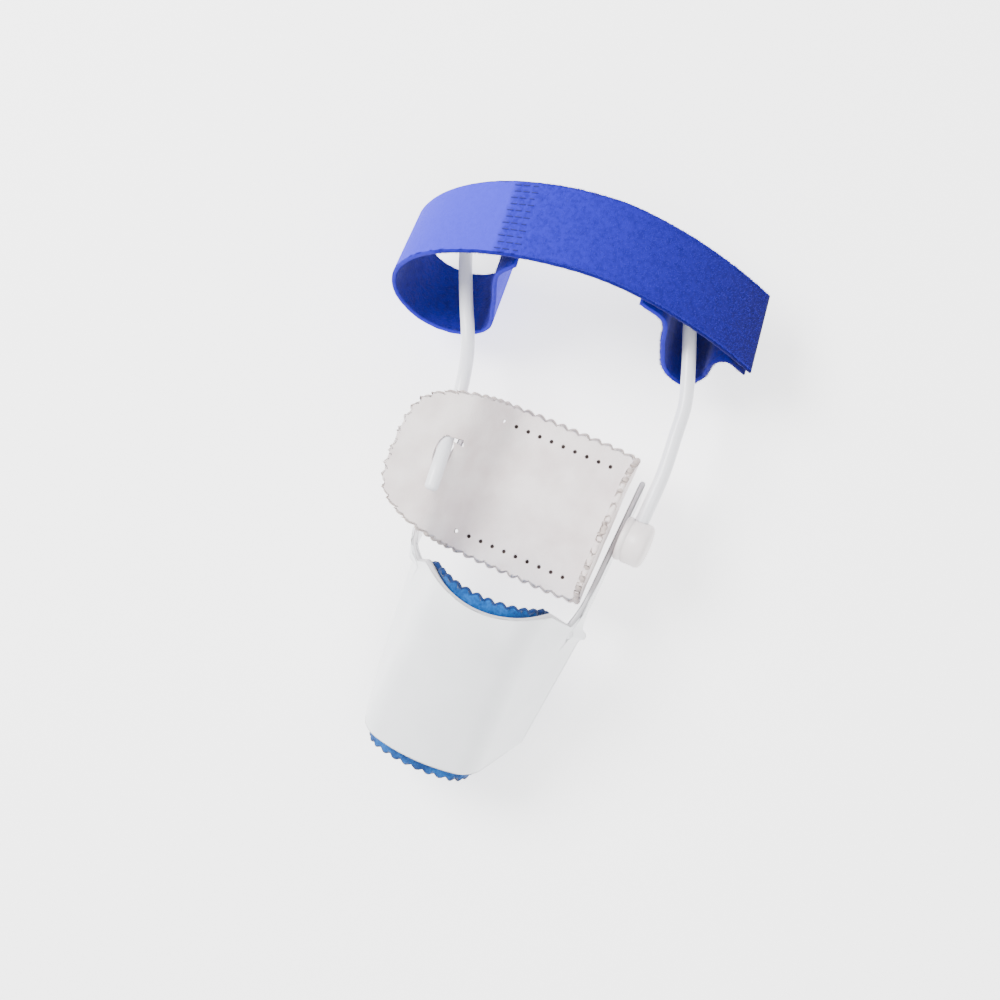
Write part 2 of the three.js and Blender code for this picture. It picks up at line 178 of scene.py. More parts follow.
def sheet_mesh(columns, rows, wall, place):
    """A wall of even thickness with a rounded edge all round: its points, its faces, the side of
    each face (0 outer, 1 inner, 2 edge) and each point's share along it."""
    grid = np.array(
        [[place(i / columns, j / rows) for j in range(rows + 1)] for i in range(columns + 1)], float
    )
    along = np.gradient(grid, axis=0)
    across = np.gradient(grid, axis=1)
    normal = np.cross(along, across)
    normal /= np.linalg.norm(normal, axis=2, keepdims=True) + TINY
    half = wall / 2
    ring = (
        [(i, 0) for i in range(columns)]
        + [(columns, j) for j in range(rows)]
        + [(i, rows) for i in range(columns, 0, -1)]
        + [(0, j) for j in range(rows, 0, -1)]
    )
    # the edge is a half round, so the faces stop short of it, square to the edge's own line
    outward = np.zeros_like(grid)
    round_depth = half * EDGE_ROUND
    for k, (i, j) in enumerate(ring):
        before, after = ring[k - 1], ring[(k + 1) % len(ring)]
        for a, b in ((before, (i, j)), ((i, j), after)):
            step = np.cross(grid[b] - grid[a], normal[i, j])
            outward[i, j] += step / (np.linalg.norm(step) + TINY)
        outward[i, j] /= np.linalg.norm(outward[i, j]) + TINY
    core = grid - outward * round_depth
    points, faces, sides = [], [], []
    size = (columns + 1) * (rows + 1)
    for side in (1, -1):
        points += [tuple(p) for p in (core + normal * half * side).reshape(-1, 3)]
    runs = [i / columns for i in range(columns + 1) for _ in range(rows + 1)] * 2

    def index(i, j, side):
        return side * size + i * (rows + 1) + j

    for i in range(columns):
        for j in range(rows):
            faces.append((index(i, j, 0), index(i + 1, j, 0), index(i + 1, j + 1, 0), index(i, j + 1, 0)))
            faces.append((index(i, j, 1), index(i, j + 1, 1), index(i + 1, j + 1, 1), index(i + 1, j, 1)))
            sides += [0, 1]
    loops = [[index(i, j, 0) for i, j in ring]]
    for k in range(1, EDGE_STEPS):
        turn = math.pi * k / EDGE_STEPS
        loops.append(list(range(len(points), len(points) + len(ring))))
        for i, j in ring:
            runs.append(i / columns)
            points.append(
                tuple(
                    core[i, j]
                    + normal[i, j] * half * math.cos(turn)
                    + outward[i, j] * round_depth * math.sin(turn)
                )
            )
    loops.append([index(i, j, 1) for i, j in ring])
    count = len(ring)
    for a, b in zip(loops, loops[1:]):
        for k in range(count):
            n = (k + 1) % count
            faces.append((a[k], b[k], b[n], a[n]))
            sides.append(2)
    return points, faces, sides, runs


CURVE_STEPS = 60  # between two points, before the curve is cut into even steps
SHORTEST_GAP = 1e-4


def curve_points(points, steps):
    """Even steps along a centripetal curve through the points, which may have any number of columns."""
    p = [np.array(x, float) for x in points]
    p = [2 * p[0] - p[1], *p, 2 * p[-1] - p[-2]]
    fine = []
    for k in range(1, len(p) - 2):
        a, b, c, d = p[k - 1 : k + 3]
        pairs = ((a, b), (b, c), (c, d))
        gaps = [max(np.linalg.norm(y[:3] - x[:3]) ** 0.5, SHORTEST_GAP) for x, y in pairs]
        t1 = ((b - a) / gaps[0] - (c - a) / (gaps[0] + gaps[1]) + (c - b) / gaps[1]) * gaps[1]
        t2 = ((c - b) / gaps[1] - (d - b) / (gaps[1] + gaps[2]) + (d - c) / gaps[2]) * gaps[1]
        for i in range(CURVE_STEPS + (k == len(p) - 3)):
            t = i / CURVE_STEPS
            fine.append(
                b + t1 * t + (-3 * b + 3 * c - 2 * t1 - t2) * t**2 + (2 * b - 2 * c + t1 + t2) * t**3
            )
    fine = np.array(fine)
    run = np.concatenate([[0], np.cumsum(np.linalg.norm(np.diff(fine[:, :3], axis=0), axis=1))])
    wanted = np.linspace(0, run[-1], steps + 1)
    even = [np.interp(wanted, run, fine[:, n]) for n in range(fine.shape[1])]
    return np.stack(even, axis=1), run[-1]


END_REACH = 0.6  # a domed end's length and its smallest radius, as shares of the bar's radius
END_FLAT = 0.5


def bar_mesh(points, radius, sides=32, steps=200, round_ends=True):
    """A round bar along a curve, with domed ends inside its length, or flat ones."""
    line, length = curve_points(points, steps)
    tangents = np.gradient(line, axis=0)
    tangents /= np.linalg.norm(tangents, axis=1, keepdims=True)
    side = np.cross(tangents[0], (0, 0, 1))
    side /= np.linalg.norm(side)
    rings, verts, faces = [], [], []
    for k, (centre, tangent) in enumerate(zip(line, tangents)):
        side = side - tangent * np.dot(side, tangent)
        side /= np.linalg.norm(side)
        other = np.cross(tangent, side)
        from_end = min(k, steps - k) / steps * length
        scale = 1.0
        if round_ends and from_end < radius * END_REACH:
            dome = math.sqrt(max(1 - (1 - from_end / (radius * END_REACH)) ** 2, 0))
            scale = dome * (1 - END_FLAT) + END_FLAT
        rings.append(len(verts))
        for s in range(sides):
            turn = 2 * math.pi * s / sides
            verts.append(
                tuple(centre + (side * math.cos(turn) + other * math.sin(turn)) * radius * scale)
            )
    for a, b in zip(rings, rings[1:]):
        for s in range(sides):
            n = (s + 1) % sides
            faces.append((a + s, a + n, b + n, b + s))
    faces.append(tuple(rings[0] + s for s in reversed(range(sides))))
    faces.append(tuple(rings[-1] + s for s in range(sides)))
    return verts, faces


# The plate's form, as in the part


def plate_form(crown_half, corner, free_half):
    """The measures of half a section: an arched crown, a corner that touches it and a straight wall."""
    crown_radius = crown_half / math.sin(PLATE_CROWN_TURN)
    centre_x = crown_half - corner * math.sin(PLATE_CROWN_TURN)
    centre_up = (crown_radius - corner) * math.cos(PLATE_CROWN_TURN) - crown_radius
    free_x, free_up = free_half - centre_x, -PLATE_DEPTH - centre_up
    wall = math.sqrt(free_x**2 + free_up**2 - corner**2)
    wall_turn = math.atan2(free_x, free_up) - math.atan2(wall, corner)
    crown_run = crown_radius * PLATE_CROWN_TURN
    corner_run = corner * (wall_turn - PLATE_CROWN_TURN)
    half_run = crown_run + corner_run + wall
    return crown_radius, centre_x, centre_up, crown_run, corner_run, wall_turn, half_run


def plate_section(share, form, corner):
    """How far out and how high a share of half a section lies, and the way it faces there."""
    crown_radius, centre_x, centre_up, crown_run, corner_run, wall_turn, half_run = form
    run = share * half_run
    if run <= crown_run:
        turn = run / crown_radius
        return crown_radius * math.sin(turn), crown_radius * (math.cos(turn) - 1), turn
    turn = min(PLATE_CROWN_TURN + (run - crown_run) / corner, wall_turn)
    past = max(run - crown_run - corner_run, 0)
    return (
        centre_x + corner * math.sin(turn) + past * math.cos(turn),
        centre_up + corner * math.cos(turn) - past * math.sin(turn),
        turn,
    )


def even_bend(share):
    """From 0 to 1 at an even rate with soft ends, which keeps the bend's radius large."""
    share = min(max(share, 0), 1)
    if share > 0.5:
        return 1 - even_bend(1 - share)
    if share < ARM_BEND_EASE:
        return share**2 / (2 * ARM_BEND_EASE * (1 - ARM_BEND_EASE))
    return (share - ARM_BEND_EASE / 2) / (1 - ARM_BEND_EASE)


def crown_angle(run):
    """The crown's slope at a run from the toe end."""
    bent = even_bend((run - ARM_BEND_START) / ARM_BEND_LENGTH)
    return math.radians(mix(PLATE_TILT, ARM_TILT, bent))


CROWN_STEPS = 120  # of a millimetre each, along the plate and its arms
crown_table = [(PLATE_TOE[1], PLATE_TOE[2])]
for step in range(CROWN_STEPS):
    y, z = crown_table[-1]
    angle = crown_angle(step + 0.5)
    crown_table.append((y + math.cos(angle), z + math.sin(angle)))
crown_table = np.array(crown_table)


def crown_line(distance):
    """Where the crown lies at a distance from the toe end, and its slope."""
    if distance < 0:
        angle = crown_angle(0)
        return PLATE_TOE[1] + distance * math.cos(angle), PLATE_TOE[2] + distance * math.sin(angle), angle
    k = min(int(distance), CROWN_STEPS - 2)
    y, z = mix(crown_table[k], crown_table[k + 1], distance - k)
    return y, z, crown_angle(distance)


def plate_point(side, distance, inset):
    """A point of the plate's middle surface, or inside it: side is -1 to 1 across the section."""
    rim = min(distance / PLATE_LENGTH, 1)
    past = smooth(distance, PLATE_LENGTH, PLATE_LENGTH + ARM_TURN_LENGTH)
    corner = mix(*PLATE_CORNER, rim)
    upright = ARM_HALF - corner * (1 - math.sin(PLATE_CROWN_TURN))
    crown_half = mix(mix(*PLATE_CROWN, rim), upright, past)
    free_half = mix(mix(*PLATE_HALF, rim), ARM_HALF, past)
    x, drop, turn = plate_section(abs(side), plate_form(crown_half, corner, free_half), corner)
    y, z, angle = crown_line(distance)
    height = drop - inset * math.cos(turn)
    middle = mix(mix(PLATE_TOE[0], PLATE_RIM_X, rim), ARM_X, past)
    return (
        middle + math.copysign(1, side) * (x - inset * math.sin(turn)),
        y - height * math.sin(angle),
        z + height * math.cos(angle),
    )


HALF_RUN = plate_form(PLATE_CROWN[1], PLATE_CORNER[1], PLATE_HALF[1])[-1]


def rim_at(side, scoop):
    """How far from the toe end the scooped rim lies."""
    return PLATE_LENGTH + scoop * min(abs(side) * HALF_RUN / RIM_SCOOP_RUN, 1) ** 2


def plate_place(u, v):
    """A point of the plate and its arms: u goes across them, and v from the toe end to the tips."""
    side = 1 - 2 * u
    arm_share = 1 - ARM_WIDTH / HALF_RUN
    rise = smooth(abs(side), arm_share - ARM_SHOULDER / HALF_RUN, arm_share)
    tip = ARM_TIP_ROUND * smooth(abs(side), 1 - ARM_TIP_WIDTH / HALF_RUN, 1)
    end = mix(rim_at(side, RIM_SCOOP), PLATE_LENGTH + ARM_LENGTH - tip, rise**2)
    return plate_point(side, v * end, 0)


def scallop(run):
    """The depth of the pinked edge's round teeth at a run along it."""
    return PINK_DEPTH * abs(math.sin(math.pi * run / PINK_PITCH))


LINING_INSET = (PLATE_WALL + LINING_WALL) / 2 + LINING_GAP
LINING_REACH = 1 - LINING_SET_BACK / HALF_RUN
LINING_SCALLOPS = round(2 * HALF_RUN * LINING_REACH / PINK_PITCH)
LINING_NAP = 0.06


def lining_place(u, v):
    """A point of the felt: u goes across it, and v from its toe end to its rim."""
    side = (1 - 2 * u) * LINING_REACH
    wave = scallop(u * LINING_SCALLOPS * PINK_PITCH)
    bottom = -LINING_PROUD[0] + PINK_DEPTH - wave
    top = rim_at(side, LINING_SCOOP) + LINING_PROUD[1] - PINK_DEPTH + wave
    point = np.array(plate_point(side, mix(bottom, top, v), LINING_INSET))
    return point + LINING_NAP * np.array([fuzz(point, 0.9, s) for s in (3, 7, 11)])


# The pad

FOLD_STEPS = 20
fold_reach = sum(
    PAD_FOLD / FOLD_STEPS * math.cos(math.pi / 2 * smooth((i + 0.5) / FOLD_STEPS, 0, 1))
    for i in range(FOLD_STEPS)
)
PAD_BACK = ARM_HALF - PLATE_WALL / 2 - PAD_GAP - PAD_WALL / 2 - fold_reach
PAD_FOLDS = {
    1: [(PAD_BACK, 90)],
    -1: [
        (PAD_BACK - PAD_FOLD_LEFT, PAD_LEFT_RISE),
        (PAD_BACK - PAD_FOLD_LEFT + PAD_FOLD + PAD_WALL_LEFT, PAD_FLAP_RISE - PAD_LEFT_RISE),
    ],
}
PAD_REACH_RIGHT = PAD_BACK + PAD_FOLD + PAD_WALL_RIGHT
PAD_REACH_LEFT = PAD_BACK - PAD_FOLD_LEFT + 2 * PAD_FOLD + PAD_WALL_LEFT + PAD_FLAP


LINE_STEPS = 4  # to the millimetre
LINE_REACH = 60


def pad_line(side, soft):
    """The bent leather's line from the middle out, in even steps; soft widens its folds."""
    x = z = 0.0
    line = [(0.0, 0.0, 0.0)]
    for k in range(LINE_REACH * LINE_STEPS):
        run = (k + 0.5) / LINE_STEPS
        angle = math.radians(
            sum(turn * smooth(run, at - soft, at + PAD_FOLD + soft) for at, turn in PAD_FOLDS[side])
        )
        x += math.cos(angle) / LINE_STEPS
        z += math.sin(angle) / LINE_STEPS
        line.append((x, z, angle))
    return np.array(line)


pad_lines = {side: pad_line(side, 0) for side in (1, -1)}
soft_lines = {1: pad_line(1, 0.4), -1: pad_line(-1, 2.2)}


def pad_point(along, up, lines=pad_lines):
    """A point of the leather's middle surface, and its slope."""
    side = 1 if along >= 0 else -1
    k = abs(along) * LINE_STEPS
    low = int(k)
    x, z, angle = mix(lines[side][low], lines[side][low + 1], k - low)
    return np.array((ARM_X + side * x, up, z)), angle * side


def pad_outline(turn):
    """The upper half of the flat pad's outline: a rounded lobe on the left and a squarer right end."""
    left = math.cos(turn) < 0
    reach = PAD_REACH_LEFT if left else PAD_REACH_RIGHT
    along = abs(math.cos(turn)) ** (PAD_LOBE_POWER if left else PAD_END_POWER)
    return (-1 if left else 1) * reach * along, PAD_HEIGHT / 2 * math.sin(turn) ** PAD_EDGE_POWER


OUTLINE_SAMPLES = 3000
OUTLINE_END = 0.01  # radians left out at each end, where the outline's slope has no limit


def pad_edge(per_scallop):
    """Even steps along the upper outline, with so many to each scallop."""
    turns = np.linspace(OUTLINE_END, math.pi - OUTLINE_END, OUTLINE_SAMPLES)
    points = np.array([pad_outline(t) for t in turns])
    run = np.concatenate([[0], np.cumsum(np.linalg.norm(np.diff(points, axis=0), axis=1))])
    count = round(run[-1] / PINK_PITCH) * per_scallop
    wanted = np.linspace(0, run[-1], count + 1)
    return np.stack([np.interp(wanted, run, points[:, n]) for n in (0, 1)], axis=1)


PAD_POINTS = 10
pad_rim = pad_edge(PAD_POINTS)
PINK_FADE = 0.14  # the share of the pad's half height in which the pinking fades out
PAD_WAVES = ((0.28, 0.11, 2), (0.09, 0.35, 5))  # each one's height, scale and seed
# The leather swells where it lies over the rod, and dips round the slit
PAD_BUMPS = (
    {"along": -21, "up": 12.5, "reach_along": 5.5, "reach_up": 5, "height": 0.9},
    {"along": -18.5, "up": 4.5, "reach_along": 3, "reach_up": 3.5, "height": -0.35},
)


def pad_bump(a, b):
    """How far the bumps lift the leather at a place along and up."""
    total = 0
    for bump in PAD_BUMPS:
        along = (a - bump["along"]) / bump["reach_along"]
        up = (b - bump["up"]) / bump["reach_up"]
        total += bump["height"] * math.exp(-(along**2) - up**2)
    return total


def pad_place(u, v):
    """A point of the leather: u goes along the pad from right to left, and v across it."""
    k = round(u * (len(pad_rim) - 1))
    a, b = pad_rim[k]
    height = 1 - 2 * v
    near = max(0, (abs(height) - 1 + PINK_FADE) / PINK_FADE)
    outer = (PINK_DEPTH - scallop(k / PAD_POINTS * PINK_PITCH)) * near
    length = math.hypot(a, b)
    a, b = a * (1 - outer / length), b * height * (1 - outer / length)
    point, angle = pad_point(a, b, soft_lines)
    up = np.array((-math.sin(angle), 0, math.cos(angle)))
    wave = sum(high * fuzz((a, b, 0), scale, seed) for high, scale, seed in PAD_WAVES)
    return point + up * (wave + pad_bump(a, b))


# The rods

flap, _ = pad_point(-(PAD_REACH_LEFT - PAD_FLAP), 0)
rod_seat = PAD_WALL / 2 + ROD_GAP + ROD_RADIUS
over = flap[2] + rod_seat
under = flap[2] - rod_seat - ROD_DIP
out = ARM_X + KNOB_OVER_ARM + ROD_RADIUS
LEFT_ROD = [
    (-22.8, -8, over + 0.5),
    (-23.4, -3, over),
    (-24.8, 4.5, flap[2] - 0.6),
    (-26.6, 11.5, under),
    (-28.2, 20, under - 1.5),
    (-31.4, 28.5, 3.6),
    (-37, 39, 0.6),
    (-42.2, 49, -2.6),
    (-46.4, 58, -7),
]
RIGHT_ROD = [
    (out + 1.4, KNOB_Y + 1.2, KNOB_Z),
    (out + 1.6, 8, KNOB_Z),
    (26.2, 18, 5.4),
    (25.2, 28, 4.6),
    (24.2, 36, 3.6),
    (21.4, 44.5, 3),
    (17.6, 54, 2.2),
    (14.4, 62, 1.4),
]

# The strap: across and up in shares of its reach and rise, and its lean in degrees

STRAP_LINE = [
    (-0.26, 0.92, 22), (-0.36, 0.7, 24), (-0.39, 0.2, 28), (-0.44, -0.26, 32), (-0.62, -0.46, 36),
    (-0.81, -0.38, 38), (-0.94, -0.04, 38), (-0.93, 0.34, 36), (-0.78, 0.7, 32), (-0.5, 0.96, 26),
    (-0.14, 1.06, 22), (0.22, 0.99, 20), (0.56, 0.72, 20), (0.84, 0.37, 20), (1.02, 0.08, 20),
]  # fmt: skip
LOOP_LINE = [
    (0.4, 0.77, 20), (0.53, 0.58, 20), (0.54, 0.2, 20), (0.57, -0.2, 20), (0.67, -0.36, 20),
    (0.77, -0.18, 20), (0.82, 0.1, 20), (0.89, 0.17, 20), (0.99, 0.03, 20),
]  # fmt: skip
strap_turn = Matrix.Rotation(math.radians(STRAP_TURN), 3, "Z") @ Matrix.Rotation(
    math.radians(-STRAP_TILT), 3, "X"
)


STRAP_FRAY = 0.12
STRAP_RIPPLE = 0.1
STRAP_BORDER = 0.8  # from here out, as a share of the half width, the tape is uneven


def band_place(line, steps):
    """A place on a band of tape along a line, as a function, and the band's length."""
    rows = [(across * STRAP_REACH, 0, up * STRAP_RISE, lean) for across, up, lean in line]
    centres, length = curve_points(rows, steps)

    def place(u, v):
        x, _, z, lean = centres[round(u * steps)]
        lean = math.radians(lean - STRAP_TILT)
        # the woven edges run slightly uneven
        edge = smooth(abs(2 * v - 1), STRAP_BORDER, 1)
        half = (v - 0.5) * STRAP_WIDTH + STRAP_FRAY * edge * fuzz((u * length, v * 9, 0), 0.6, 4)
        ripple = STRAP_RIPPLE * edge * fuzz((u * length, v * 5, 3), 0.16, 9)
        point = Vector((x, half * math.cos(lean), z - half * math.sin(lean) + ripple))
        return tuple(strap_turn @ point + Vector(STRAP_ORIGIN))

    return place, length


# Materials


class Nodes:
    """A material's node tree, with short calls to add and link its nodes."""

    def __init__(self, name, color, roughness, **sockets):
        self.material = bpy.data.materials.new(name)
        self.material.use_nodes = True
        self.tree = self.material.node_tree
        self.shader = self.tree.nodes["Principled BSDF"]
        self.shader.inputs["Base Color"].default_value = (*color, 1)
        self.shader.inputs["Roughness"].default_value = roughness
        for socket, value in sockets.items():
            self.shader.inputs[socket.replace("_", " ")].default_value = value

    def add(self, kind, links=(), **values):
        node = self.tree.nodes.new(kind)
        for name, value in values.items():
            if name in node.bl_rna.properties:
                setattr(node, name, value)
            else:
                node.inputs[name.replace("_", " ")].default_value = value
        for socket, source in dict(links).items():
            self.tree.links.new(source, node.inputs[socket])
        return node

    def ramp(self, source, stops):
        node = self.add("ShaderNodeValToRGB", {"Fac": source})
        ramp = node.color_ramp
        while len(ramp.elements) < len(stops):
            ramp.elements.new(0.5)
        for element, (place, color) in zip(ramp.elements, stops):
            element.position = place
            element.color = (*color, 1)
        return node.outputs["Color"]

    def color(self, source):
        self.tree.links.new(source, self.shader.inputs["Base Color"])

    def bump(self, source, distance, strength=1.0, under=None):
        node = self.add("ShaderNodeBump", {"Height": source}, Distance=distance, Strength=strength)
        if under:
            self.tree.links.new(under, node.inputs["Normal"])
        self.tree.links.new(node.outputs["Normal"], self.shader.inputs["Normal"])
        return node.outputs["Normal"]

    def place(self):
        return self.add("ShaderNodeTexCoord").outputs["Object"]


def srgb(red, green, blue):
    """A colour as it looks on a screen, made linear."""
    return tuple(
        c / 255 / 12.92 if c <= 10 else ((c / 255 + 0.055) / 1.055) ** 2.4 for c in (red, green, blue)
    )


def plastic(name, color, roughness, grain=0.00004):
    """A smooth coated plastic with faint cloudiness and a fine grain."""
    m = Nodes(name, color, roughness, Coat_Weight=0.25, Coat_Roughness=0.2)
    where = m.place()
    broad = m.add("ShaderNodeTexNoise", {"Vector": where}, Scale=90.0, Detail=3.0)
    darker = tuple(c * 0.94 for c in color)
    m.color(m.ramp(broad.outputs["Fac"], [(0.3, darker), (0.7, color)]))
    fine = m.add("ShaderNodeTexNoise", {"Vector": where}, Scale=1400.0, Detail=2.0)
    m.bump(fine.outputs["Fac"], grain, 0.5)
    return m.material


def felt(name, color, dark):
    """Pressed felt: fibres over broader clumps, dark between them."""
    m = Nodes(name, color, 0.95, Sheen_Weight=0.2, Sheen_Roughness=0.5, Specular_IOR_Level=0.2)
    where = m.place()
    fibre = m.add("ShaderNodeTexNoise", {"Vector": where}, Scale=1500.0, Detail=6.0, Roughness=0.7)
    clump = m.add("ShaderNodeTexNoise", {"Vector": where}, Scale=260.0, Detail=4.0)
    both = m.add("ShaderNodeMath", {0: fibre.outputs["Fac"], 1: clump.outputs["Fac"]}, operation="ADD")
    half = m.add("ShaderNodeMath", {0: both.outputs[0]}, operation="MULTIPLY")
    half.inputs[1].default_value = 0.5
    m.color(m.ramp(half.outputs[0], [(0.38, dark), (0.62, color)]))
    first = m.bump(clump.outputs["Fac"], 0.0003, 0.6)
    m.bump(fibre.outputs["Fac"], 0.00025, 0.9, first)
    return m.material


def leather(name, color, dark):
    """Soft leather with pores and slightly uneven shade."""
    m = Nodes(name, color, 0.72, Sheen_Weight=0.15)
    where = m.place()
    pores = m.add("ShaderNodeTexVoronoi", {"Vector": where}, Scale=1100.0)
    pores.feature = "DISTANCE_TO_EDGE"
    broad = m.add("ShaderNodeTexNoise", {"Vector": where}, Scale=140.0, Detail=5.0)
    m.color(m.ramp(broad.outputs["Fac"], [(0.32, dark), (0.62, color)]))
    first = m.bump(broad.outputs["Fac"], 0.0004, 0.35)
    m.bump(pores.outputs["Distance"], 0.00012, 0.6, first)
    return m.material


def tape(name, smooth_color, pile_color, end_shade_color, seam, pile_depth):
    """Hook-and-loop tape: plain weave before the seam, short tufted pile after it, and painted shade that
    darkens it to the end.
    """
    m = Nodes(name, pile_color, 0.9, Sheen_Weight=0.06, Sheen_Roughness=0.4, Specular_IOR_Level=0.12)
    where = m.place()
    run = m.add("ShaderNodeAttribute", attribute_name="run").outputs["Fac"]
    ground = m.ramp(
        run,
        [(0.0, smooth_color), (seam, smooth_color), (seam + 0.01, pile_color), (1.0, end_shade_color)],
    )
    pile = m.add("ShaderNodeTexNoise", {"Vector": where}, Scale=2600.0, Detail=5.0, Roughness=0.75)
    tufts = m.add("ShaderNodeTexNoise", {"Vector": where}, Scale=900.0, Detail=4.0, Roughness=0.6)
    shade = m.ramp(tufts.outputs["Fac"], [(0.36, (0.55, 0.55, 0.62)), (0.58, (1.0, 1.0, 1.0))])
    past = m.ramp(run, [(seam, (0.15, 0.15, 0.15)), (seam + 0.01, (0.8, 0.8, 0.8))])
    mixed = m.add("ShaderNodeMix", data_type="RGBA", blend_type="MULTIPLY")
    m.tree.links.new(past, mixed.inputs[0])
    m.tree.links.new(ground, mixed.inputs[6])
    m.tree.links.new(shade, mixed.inputs[7])
    m.color(mixed.outputs[2])
    weave = m.add("ShaderNodeTexVoronoi", {"Vector": where}, Scale=1500.0)
    first = m.bump(weave.outputs["Distance"], 0.0001, 0.4)
    second = m.bump(tufts.outputs["Fac"], pile_depth, 0.6, first)
    m.bump(pile.outputs["Fac"], pile_depth, 0.8, second)
    return m.material


WHITE = srgb(246, 248, 251)
plate_white = plastic("plate_white", WHITE, 0.32)
rod_white = plastic("rod_white", srgb(240, 241, 246), 0.3)
knob_plastic = plastic("knob_plastic", srgb(238, 231, 230), 0.45, 0.00008)
# The plate's edge faces are painted grey: painted shade on the wall's thickness.
rim_painted_shade = plastic("rim_painted_shade", srgb(196, 194, 198), 0.4)
felt_blue = felt("felt_blue", srgb(12, 92, 168), srgb(0, 44, 100))
# The felt's edge faces are painted darker blue: painted shade along the edge.
felt_edge_shade = felt("felt_edge_shade", srgb(2, 50, 112), srgb(0, 26, 70))
pad_leather = leather("pad_leather", srgb(246, 236, 235), srgb(234, 220, 218))
pad_inner = leather("pad_inner", srgb(240, 232, 230), srgb(226, 214, 212))
# The leather's edge faces are painted darker: painted shade along the cut edge.
pad_cut_shade = leather("pad_cut_shade", srgb(206, 192, 186), srgb(178, 164, 158))
# The holes' and the slit's walls are painted dark brown-grey: painted shade in the recesses.
hole_painted_shade = leather("hole_painted_shade", srgb(112, 98, 96), srgb(84, 72, 70))
STRAP_SEAM = 0.59
# Each tape's last colour darkens it towards the strap's right end: painted shade on the side away from
# the light.
strap_outer = tape(
    "strap_outer", srgb(60, 50, 216), srgb(44, 34, 184), srgb(16, 8, 96), STRAP_SEAM, 0.00022
)
# The inner face is a darker copy of the tape: painted shade inside the strap's curl.
strap_inner_shaded = tape("strap_inner_shaded", srgb(22, 14, 142), srgb(20, 12, 134), srgb(14, 8, 104), 0.01, 0.0003)
# The tape's edge faces are painted darker blue: painted shade along the edge.
strap_edge_shade = tape("strap_edge_shade", srgb(40, 32, 172), srgb(28, 20, 148), srgb(12, 6, 84), 0.5, 0.0002)
thread_dark = Nodes("thread_dark", srgb(16, 16, 100), 0.8).material


def cut_with(obj, tools, material=None):
    """Cuts closed tools, given as points and faces, out of a piece; material is for the cuts' walls."""
    for points, faces in tools:
        mesh = bpy.data.meshes.new("cutter")
        mesh.from_pydata([row(p) for p in points], [], faces)
        if material:
            mesh.materials.append(material)
        cutter = bpy.data.objects.new("cutter", mesh)
        bpy.context.collection.objects.link(cutter)
        modifier = obj.modifiers.new("cut", "BOOLEAN")
        modifier.operation = "DIFFERENCE"
        modifier.solver = "EXACT"
        modifier.material_mode = "TRANSFER" if material else "INDEX"
        modifier.object = cutter
        bpy.context.view_layer.update()
        made = bpy.data.meshes.new_from_object(obj.evaluated_get(bpy.context.evaluated_depsgraph_get()))
        obj.modifiers.clear()
        old, obj.data = obj.data, made
        bpy.data.meshes.remove(old)
        bpy.data.objects.remove(cutter)
        bpy.data.meshes.remove(mesh)


# Pieces: each wall's mesh has so many columns along its first direction and rows along the other

PLATE_COLUMNS = 300
PLATE_ROWS = 120
LINING_POINTS = 12  # to each scallop
LINING_ROWS = 60
PAD_ROWS = 64


def sheet_piece(name, node, slot, materials, *sheet):
    """A wall as a piece, with a material each for its outer face, its inner face and its edge."""
    points, faces, sides, runs = sheet_mesh(*sheet)
    return mesh_object(name, points, faces, node, slot, materials, sides, runs)


sheet_piece(
    "plate", "toe_plate", "plate_white", [plate_white, plate_white, rim_painted_shade],
    PLATE_COLUMNS, PLATE_ROWS, PLATE_WALL, plate_place,
)  # fmt: skip
lining = sheet_piece(
    "lining", "plate_lining", "lining_felt", [felt_blue, felt_blue, felt_edge_shade],
    LINING_SCALLOPS * LINING_POINTS, LINING_ROWS, LINING_WALL, lining_place,
)  # fmt: skip
pad = sheet_piece(
    "pad", "bunion_pad", "pad_leather", [pad_inner, pad_leather, pad_cut_shade],
    len(pad_rim) - 1, PAD_ROWS, PAD_WALL, pad_place,
)  # fmt: skip


HOLE_TOP = 4
HOLE_SIDES = 20


def hole_tool():
    """All the pad's round holes in one mesh of separate closed cylinders."""
    points, faces = [], []
    for side in (-1, 1):
        for k in range(HOLES_PER_ROW):
            x = ARM_X + (k - (HOLES_PER_ROW - 1) / 2) * HOLE_PITCH
            y = side * (PAD_HEIGHT / 2 - HOLE_ROW_INSET)
            start = len(points)
            for z in (HOLE_FLOOR, HOLE_TOP):
                for s in range(HOLE_SIDES):
                    turn = 2 * math.pi * s / HOLE_SIDES
                    points.append((x + HOLE_RADIUS * math.cos(turn), y + HOLE_RADIUS * math.sin(turn), z))
            top = start + HOLE_SIDES
            faces.append(tuple(start + s for s in reversed(range(HOLE_SIDES))))
            faces.append(tuple(top + s for s in range(HOLE_SIDES)))
            for s in range(HOLE_SIDES):
                n = (s + 1) % HOLE_SIDES
                faces.append((start + s, start + n, top + n, top + s))
    return points, faces


SLIT_CORNERS = ((-25.5, 5.4), (-20.4, 4.7), (-21, 6.3))
SLIT_REACH = (-8, 6)  # below and above the lobe


def slit_tool():
    """The slit's narrow corner beside the rod: an upright three-sided prism."""
    points = [(x, y, flap[2] + z) for z in SLIT_REACH for x, y in SLIT_CORNERS]
    return points, [(2, 1, 0), (3, 4, 5), (0, 1, 4, 3), (1, 2, 5, 4), (2, 0, 3, 5)]


SOCKET_SIDES = 24
rod_way = bar_mesh(LEFT_ROD, ROD_RADIUS + ROD_GAP, sides=SOCKET_SIDES, steps=120, round_ends=False)
cut_with(pad, [rod_way])
# the holes and the slit get walls of painted shade
cut_with(pad, [hole_tool(), slit_tool()], hole_painted_shade)

for name, points, node in (("rod_left", LEFT_ROD, "left_rod"), ("rod_right", RIGHT_ROD, "right_rod")):
    mesh_object(name, *bar_mesh(points, ROD_RADIUS), node, "rod_white", [rod_white])


KNOB_SIDES = 64


